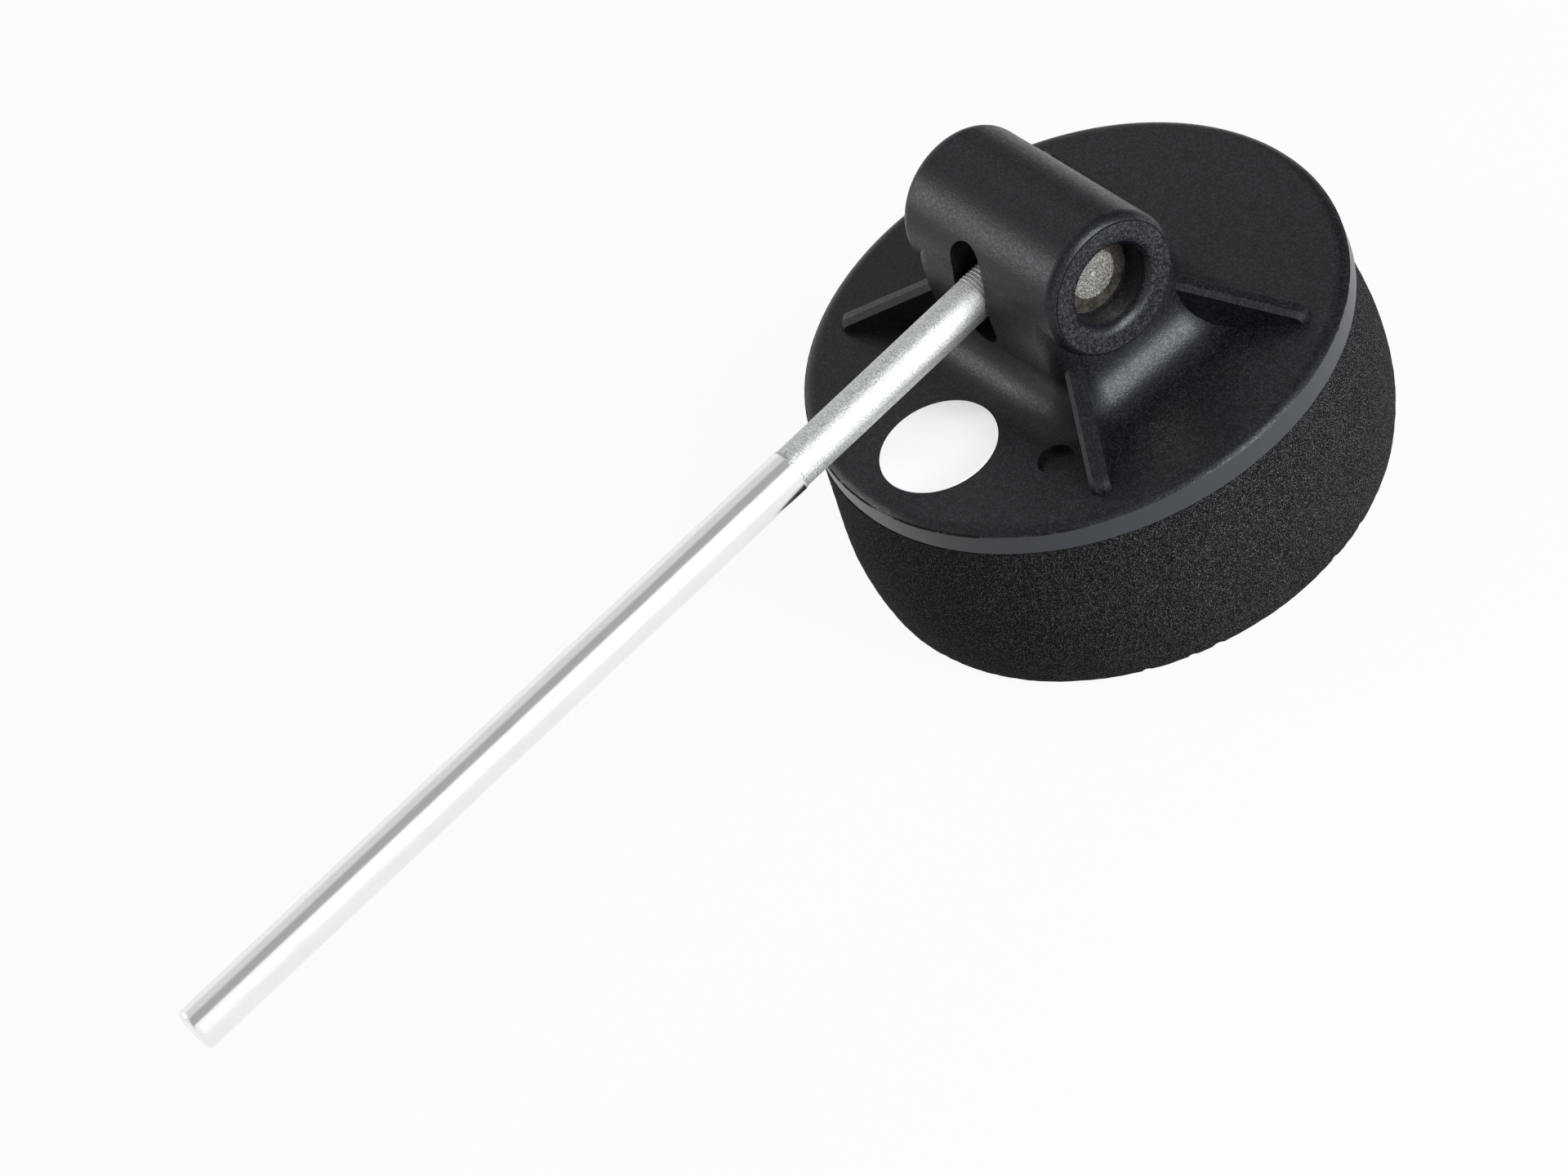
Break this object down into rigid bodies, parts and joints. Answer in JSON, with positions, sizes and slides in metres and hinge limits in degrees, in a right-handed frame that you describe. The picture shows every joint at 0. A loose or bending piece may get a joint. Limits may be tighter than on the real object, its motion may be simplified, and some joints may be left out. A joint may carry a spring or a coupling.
{
  "type": "bass drum beater",
  "caption": "Foam disc beater for a foot pedal: a moulded head with a swivel barrel turns on a steel pin, which a round steel shaft screws into.",
  "frame": {"origin": "centre of the foam pad's striking face", "axes": "+Z from the striking face to the swivel barrel, X along the barrel, shaft towards -Y"},
  "size_m": [0.0978, 0.2398, 0.0704],
  "materials": {
    "moulded_plastic": "satin",
    "foam": "matte",
    "adhesive": "matte",
    "label": "satin",
    "pin_steel": "satin",
    "shaft_steel": "satin"
  },
  "bodies": {
    "head": {"head_moulding": "moulded_plastic", "foam_pad": "foam", "adhesive_disc": "adhesive", "round_label": "label"},
    "shank": {"shaft": "shaft_steel", "pivot_pin": "pin_steel"}
  },
  "joints": [
    {"name": "head_swivel", "type": "hinge", "parent": "head", "child": "shank", "pos_m": [0, 0, 0.0573], "axis": [1, 0, 0], "range_deg": [-30, 11]}
  ]
}
